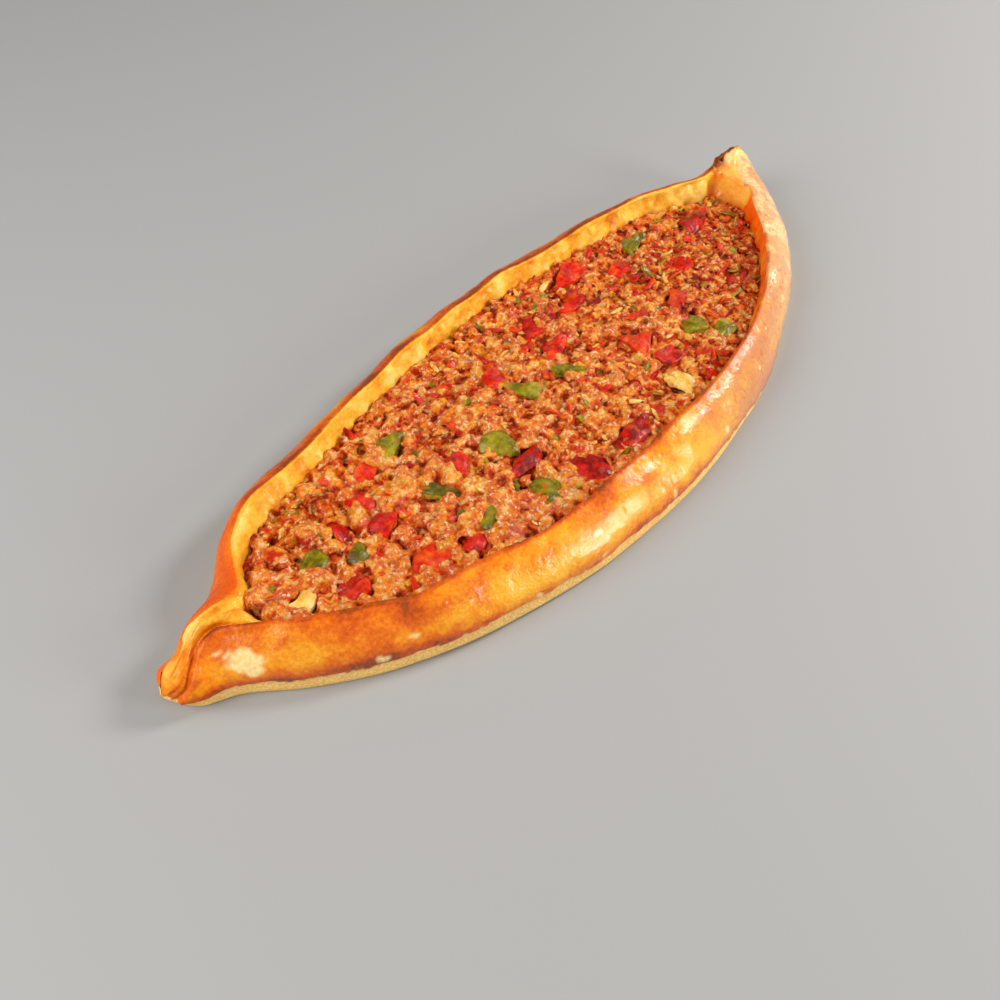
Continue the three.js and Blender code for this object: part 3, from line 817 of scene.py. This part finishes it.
def make_mince(spots, rng):
    """The chopped meat and its sauce: lumps grown together, without the underside that never shows."""
    shapes = [core_shape()]
    for group, level in spots:
        points, faces, _ = lumps(group, level, rng, 0.72, 0.45, 0.06)
        shapes.append((points, faces))
    points, normals, quads = fused(shapes, MINCE_STEP)
    lift = 0.5 * noise(points, 2.8, 55) + 0.5 * np.abs(noise(points, 1.7, 56)) - 0.2
    points = points + normals * lift[:, None]
    high = points[:, 2] - surface(*points[:, :2].T)
    shown = (points[quads, 2].max(1) > SHOWN_FROM) & (normals[quads, 2].max(1) > -0.3)
    quads = quads[shown]
    used, quads = np.unique(quads, return_inverse=True)
    # How proud each point stands, from 0 to 1: the material glosses the high points, paints shade on the low
    # ones and puts painted glints on the high ones
    knob = np.clip(0.62 + 0.26 * high + 1.1 * (lift - 0.05), 0, 1)
    made = piece("mince_in_sauce", points[used], quads.reshape(-1, 4).tolist(),
                 mince_material("mince_in_sauce"), {"knob": knob[used]})
    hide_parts("filling")


# The colours of the meat and its sauce, as sRGB from 0 to 255; the meat's colours run from dark in its
# hollows, as painted shade, to light on its tops, and the glint is a painted highlight
MEAT_AND_PAINTED_SHADE = ((124, 26, 0), (194, 60, 0), (228, 98, 1), (244, 140, 8), (252, 186, 60))
RED_SAUCE = (210, 44, 2)
OLIVE_OIL = (204, 140, 16)
FAT = (252, 200, 112)
GLINT = (255, 226, 176)
CLINGING_SAUCE = (208, 84, 6)


def mince_colour(m):
    """Meat in sauce: orange-brown with painted shade, darker in its hollows and lighter on its tops, with
    red and oily stains, pale fat, and painted glints on its tops.
    """
    # Painted shade: the lower a point stands, the darker the meat's colour
    shade = m.spread(m.mask("knob"), 0, 1, 0.02, 0.66)
    shade = m.math("ADD", shade, m.spread(m.noise(22, 3), 0.3, 0.7, -0.1, 0.1))
    shade = m.math("ADD", shade, m.spread(m.noise(5, 4), 0.3, 0.7, -0.2, 0.2))
    fine = m.spread(m.noise(1.6, 3, shift=0.3), 0.35, 0.65, -0.16, 0.16)
    colour = m.ramp(m.math("ADD", shade, fine, clamp=True), *MEAT_AND_PAINTED_SHADE)
    colour = m.mix(m.spread(m.noise(9, 4, shift=0.7), 0.55, 0.66, 0.0, 0.75), colour, RED_SAUCE)
    colour = m.mix(m.spread(m.noise(7, 3, shift=4.7), 0.6, 0.68, 0.0, 0.6), colour, OLIVE_OIL)
    colour = m.mix(m.spread(m.noise(3.2, 3, shift=1.3), 0.52, 0.7, 0.0, 0.75), colour, FAT)
    # Painted highlights: pale glint specks on the highest points of the mince
    on_top = m.spread(m.mask("knob"), 0.5, 0.9, 0.0, 0.7)
    painted_glints = m.math("MULTIPLY", m.spread(m.noise(1.5, 3, shift=6.1), 0.57, 0.63), on_top)
    return m.mix(painted_glints, colour, GLINT)


def mince_material(name):
    m = Shader(name)
    height = m.math("ADD", m.noise(1.8, 5, 0.7), m.math("MULTIPLY", m.noise(0.8, 3), 0.8))
    patches = m.spread(m.noise(6, 3, shift=3.1), 0.35, 0.6, 0.35, 1.0)
    wet = m.math("MULTIPLY", m.spread(m.mask("knob"), 0.4, 0.75), patches)
    return m.finish(
        Base_Color=mince_colour(m), Roughness=0.5, Specular_IOR_Level=0.12,
        Coat_Weight=wet, Coat_Roughness=0.1,
        Subsurface_Weight=0.1, Subsurface_Radius=(0.0025, 0.001, 0.0004), Subsurface_Scale=1.0,
        Normal=m.relief(height, 1.4), Coat_Normal=m.relief(height, 0.8),
    )


# ---------------------------------------------------------------------------------------------
# The cut vegetables and the lumps of meat

def slab_shape(rings, sides):
    """A unit disc, 1 each way from its middle, with a flat top and nearly upright sides."""
    lat = np.arcsin(np.linspace(-1, 1, rings + 1)[1:-1])
    lon = np.linspace(0, 2 * np.pi, sides, endpoint=False)
    ring = np.stack([np.cos(lon), np.sin(lon)], -1)
    points = [[0, 0, -1]]
    for angle in lat:
        height = np.sign(angle) * abs(np.sin(angle)) ** 0.4
        points += [[*spot, height] for spot in ring * np.cos(angle) ** 0.35]
    points = np.array([*points, [0, 0, 1]])
    faces = []
    for i in range(sides):
        after = (i + 1) % sides
        faces.append([0, 1 + after, 1 + i])
        for r in range(rings - 2):
            low, high = 1 + r * sides, 1 + (r + 1) * sides
            faces.append([low + i, low + after, high + after])
            faces.append([low + i, high + after, high + i])
        top = 1 + (rings - 2) * sides
        faces.append([top + i, top + after, len(points) - 1])
    return points, np.array(faces)


def slabs(name, middles, axes, halves, rng, material, fineness, curl, bow, ragged, nodes=()):
    """Bent, uneven slabs with a few straight sides each, as one mesh: cut pieces of vegetable.

    curl bends them up or down and bow bends them sideways, as shares of their half width, and ragged is
    how uneven their outline is. fineness is the rings and sides of each one's mesh.
    """
    shape, faces = slab_shape(*fineness)
    count = len(middles)
    halves = np.asarray(halves, float)
    shift = rng.uniform(-500, 500, (count, 1, 3))
    corners = rng.integers(3, 6, (count, 1))
    heading = np.arctan2(shape[:, 1], shape[:, 0])[None] + rng.uniform(0, 6.28, (count, 1))
    sector = 2 * np.pi / corners
    chord = np.cos(sector / 2) / np.cos(heading % sector - sector / 2)
    outline = 0.25 + 0.75 * chord / np.sqrt(np.cos(sector / 2))
    outline = outline + ragged * noise(shape[None] * [1, 1, 0.3] + shift, 0.7, 61)
    body = shape[None] * halves[:, None]
    body[..., :2] *= outline[..., None]
    along, over = body[..., 0] / halves[:, :1], body[..., 1] / halves[:, 1:2]
    arch = rng.uniform(-0.3, 1.0, (count, 2, 1)) * curl
    body[..., 2] -= halves[:, 1:2] * (arch[:, 0] * (along**2 - 0.4) + arch[:, 1] * (over**2 - 0.4)) * 0.5
    body[..., 1] += bow * halves[:, 1:2] * (along**2 - 0.4)
    body[..., 2] += 0.3 * halves[:, 1:2] * noise(shape[None] * 0.9 + shift + 77, 0.9, 62)
    body[..., 2] += 0.35 * halves[:, 2:] * noise(shape[None] + shift + 33, 0.4, 63)
    body = np.einsum("nki,nij->nkj", body, np.asarray(axes)) + np.asarray(middles)[:, None]
    index = (faces[None] + len(shape) * np.arange(count)[:, None, None]).reshape(-1, 3).tolist()
    masks = {
        "tone": np.repeat(rng.uniform(0, 1, count), len(shape)),
        "skin": np.tile(smoothstep(shape[:, 2], -0.2, 0.6), count),
    }
    made = piece(name, body.reshape(-1, 3), index, material, masks)
    if nodes:
        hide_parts(*nodes)


def skin_material(name, skin, flesh, glow=0.1):
    """Wet skin in colours from dark to light, with the flesh's colour where the piece is cut."""
    m = Shader(name)
    shade = m.math("MULTIPLY", m.mask("tone"), 0.5)
    shade = m.math("ADD", shade, m.spread(m.noise(5, 4), 0.3, 0.7, -0.15, 0.5), clamp=True)
    streaks = m.noise(1.8, 4, shift=5.3)
    shade = m.math("ADD", shade, m.spread(streaks, 0.3, 0.7, -0.14, 0.14), clamp=True)
    colour = m.mix(m.mask("skin"), flesh, m.ramp(shade, *skin))
    clinging = m.spread(m.noise(4.5, 4, shift=2.1), 0.57, 0.68, 0.0, 0.7)
    height = m.math("ADD", m.noise(2.4, 4), m.math("MULTIPLY", m.noise(0.8, 3), 0.5))
    return m.finish(
        Base_Color=m.mix(clinging, colour, CLINGING_SAUCE),
        Roughness=m.spread(m.noise(2.2, 3), 0.3, 0.7, 0.2, 0.45),
        Specular_IOR_Level=0.12,
        Coat_Weight=m.spread(m.noise(6, 3, shift=8.2), 0.47, 0.56, 0.08, 1.0),
        Coat_Roughness=0.08,
        Subsurface_Weight=glow,
        Subsurface_Radius=(0.003, 0.001, 0.0005),
        Subsurface_Scale=1.0,
        Normal=m.relief(height, 1.0),
        Coat_Normal=m.relief(height, 0.5),
    )


RED = skin_material(
    "red_pepper", ((122, 6, 1), (190, 14, 1), (222, 34, 3), (240, 92, 18)), (240, 112, 24)
)
GREEN = skin_material(
    "green_pepper", ((78, 70, 2), (112, 102, 4), (142, 130, 10), (176, 160, 36)), (186, 160, 40)
)
TOMATO = skin_material(
    "tomato", ((150, 16, 2), (200, 34, 3), (224, 66, 8), (236, 112, 28)), (216, 70, 12), 0.15
)
ONION = skin_material(
    "onion", ((216, 140, 36), (236, 172, 62), (248, 204, 104), (253, 226, 156)), (240, 182, 84), 0.2
)
MINCE = mince_material("cooked_mince")

# For each kind of cut piece: its material, its thickness as a share of the CAD piece's, its curl and bow
CUTS = {
    "red_pepper": (RED, 0.8, 0.8, 0.2), "green_pepper": (GREEN, 0.75, 0.9, 0.3),
    "onion": (ONION, 0.6, 0.8, 1.0), "tomato": (TOMATO, 0.8, 0.3, 0.0),
}
LARGE_FINENESS = (14, 36)
SMALL_FINENESS = (6, 18)


def make_toppings():
    """The cut pieces and lumps of meat that the CAD has as nodes, in their places."""
    for kind, (material, thin, curl, bow) in CUTS.items():
        names, middles, axes, halves = zip(*FRAMES[kind])
        halves = np.array(halves)
        # A slab thinner than the CAD piece lies level with its top, and 0.3 mm deeper
        lifted = np.array(middles) + np.array([0, 0, 1]) * ((1 - thin) * halves[:, 2:] - 0.3)
        slabs(f"{kind}_pieces", lifted, axes, halves * [1.08, 1.12, thin], np.random.default_rng(5),
              material, LARGE_FINENESS, curl, bow, 0.14, names)
    names, middles, _, halves = zip(*FRAMES["meat_cube"])
    rng = np.random.default_rng(8)
    # Each cube of meat is a middle lump with seven smaller ones round it
    spots = []
    for middle, half in zip(middles, halves):
        spots.append([*middle[:2], 1.7 * half[0]])
        for angle in np.arange(7) * 0.9 + rng.uniform(0, 1):
            reach = 0.55 * half[0]
            spots.append([middle[0] + reach * np.cos(angle), middle[1] + reach * np.sin(angle),
                          rng.uniform(0.75, 1.05) * half[0]])
    points, faces, knob = lumps(np.array(spots), 3, rng, 0.75, 0.3, 0.12)
    clump = piece("meat_pieces", points, faces, MINCE, {"knob": knob})
    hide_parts(*names)


def make_bits(name, count, material, size, seed, rise):
    """Small cut bits of a kind, scattered at about the rise above the filling's top."""
    long, wide, thick = size
    rng = np.random.default_rng(seed)
    spots, _ = scatter(count, lambda x, y, share, pick: long * (0.6 + 0.8 * pick), rng, NOTHING, 0.5, 0.9)
    count = len(spots)
    x, y, length = spots.T
    halves = np.stack([length, wide * rng.uniform(0.7, 1.3, count),
                       thick * rng.uniform(0.8, 1.2, count)], -1) / 2
    middles = np.stack([x, y, surface(x, y) + rise + rng.uniform(-0.5, 0.5, count)], -1)
    axes = turns(count, rng, 0.8)
    slabs(name, middles, axes, halves, rng, material, SMALL_FINENESS, 0.7, 0.4, 0.2)


def make_filling():
    """The mince with its sauce, loose crumbs on it, and small bits of vegetable."""
    rng = np.random.default_rng(3)

    def large(x, y, share, pick):
        return (3.6 + 4.4 * coarse(x, y)) * (1.15 - 0.4 * share) * (0.8 + 0.4 * pick)

    def small(x, y, share, pick):
        return (2.5 + 1.6 * coarse(x, y)) * (0.75 + 0.5 * pick)

    big, taken = scatter(650, large, rng, NOTHING, 0.34, 0.5)
    little, _ = scatter(2600, small, rng, taken, 0.27, 0.6)
    make_mince([(big, 3), (little, 2)], rng)
    loose, _ = scatter(700, small, rng, NOTHING, 0.9, 0.9)
    loose[:, 2] *= 0.85
    points, faces, knob = lumps(loose, 2, rng, 0.8, 0.4, 0.42)
    piece("loose_crumbs", points, faces, MINCE, {"knob": knob})

    # Each size is a typical length, width and thickness
    make_bits("red_bits", 70, RED, (8.4, 2.8, 1.0), 71, 0.5)
    make_bits("tomato_bits", 60, TOMATO, (6.5, 4.6, 1.4), 72, 0.2)
    make_bits("green_bits", 46, GREEN, (8.6, 2.3, 0.9), 73, 0.6)
    make_bits("onion_bits", 50, ONION, (6.4, 2.4, 1.0), 74, 0.3)


make_toppings()
make_filling()


# ---------------------------------------------------------------------------------------------
# The floor

FLOOR_HALF_SIDE = 3.0  # metres


def make_floor():
    side = FLOOR_HALF_SIDE
    corners = [(-side, -side, 0), (side, -side, 0), (side, side, 0), (-side, side, 0)]
    mesh = bpy.data.meshes.new("floor")
    mesh.from_pydata(corners, [], [(0, 1, 2, 3)])
    m = Shader("floor")
    mesh.materials.append(m.finish(Base_Color=(0.36, 0.36, 0.36, 1.0), Roughness=0.7))
    floor = bpy.data.objects.new("floor", mesh)
    bpy.context.scene.collection.objects.link(floor)


make_floor()
